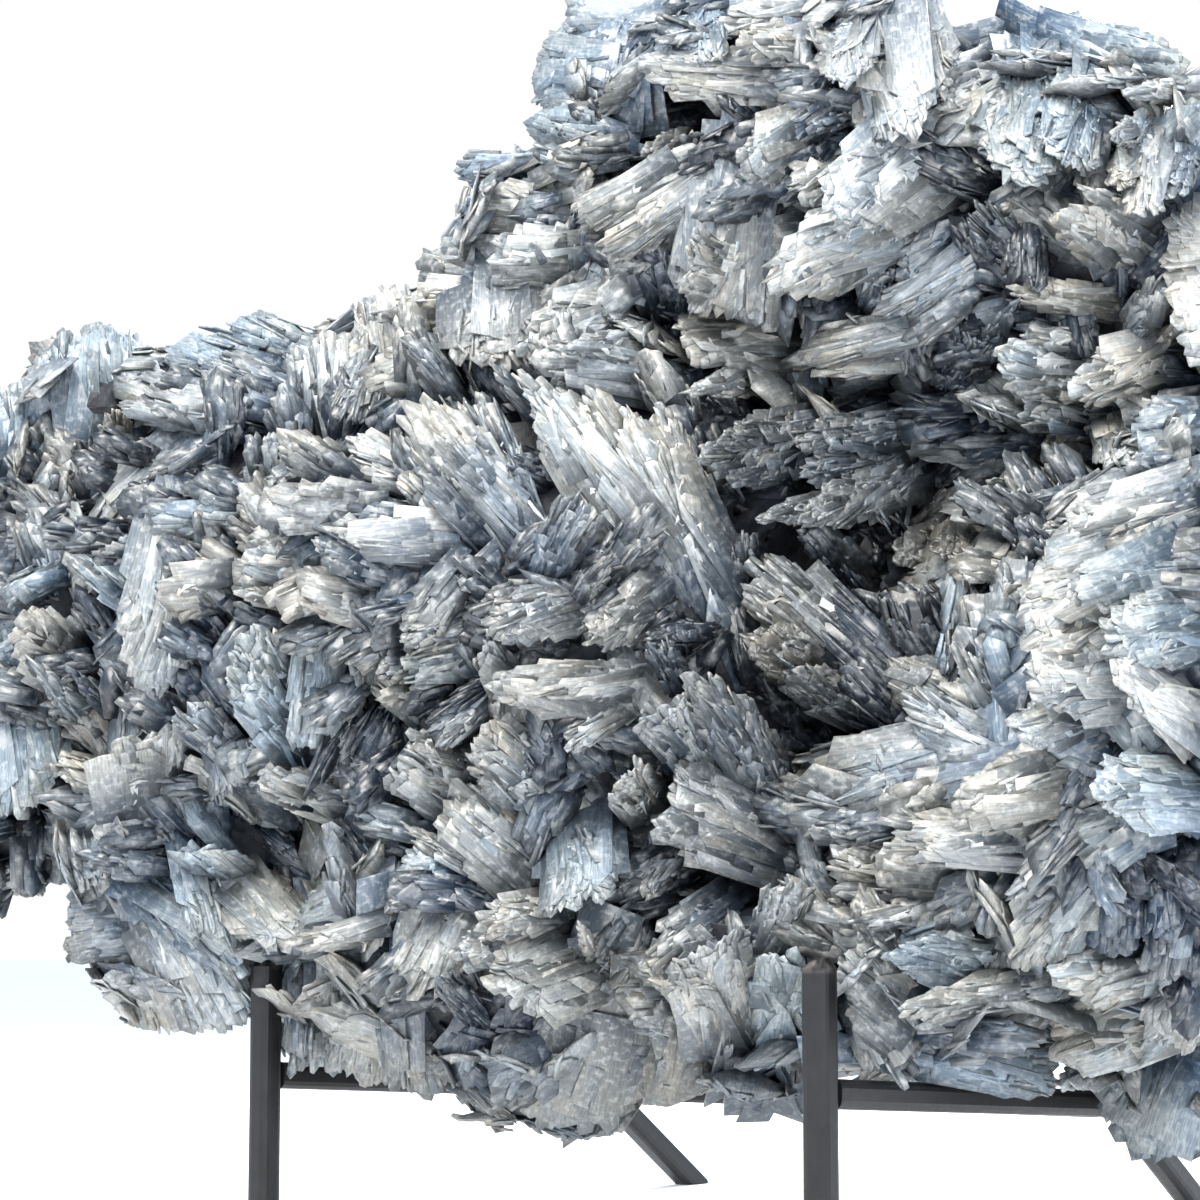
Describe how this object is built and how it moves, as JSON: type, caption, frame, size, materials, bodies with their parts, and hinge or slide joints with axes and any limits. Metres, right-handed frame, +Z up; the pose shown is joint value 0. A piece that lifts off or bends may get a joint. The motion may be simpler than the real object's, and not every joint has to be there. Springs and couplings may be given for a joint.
{
  "type": "barite crystal cluster",
  "caption": "Large cluster of pale blue bladed barite crystals grown in overlapping fans and bundles, resting on a low welded stand of black square bar.",
  "frame": {"origin": "centre of the bounding box on the surface the stand's feet rest on", "axes": "+X to the right along the line of the two front uprights, seen from the front; +Y towards the back, along the side rails; +Z up"},
  "size_m": [0.5838, 0.3264, 0.4655],
  "materials": {
    "barite": "satin",
    "black_paint": "satin"
  },
  "bodies": {
    "root": {"barite_cluster": "barite", "front_upright_left": "black_paint", "front_upright_right": "black_paint", "side_rail_left": "black_paint", "side_rail_right": "black_paint", "rear_leg_left": "black_paint", "rear_leg_right": "black_paint", "cross_bar": "black_paint"}
  },
  "joints": []
}
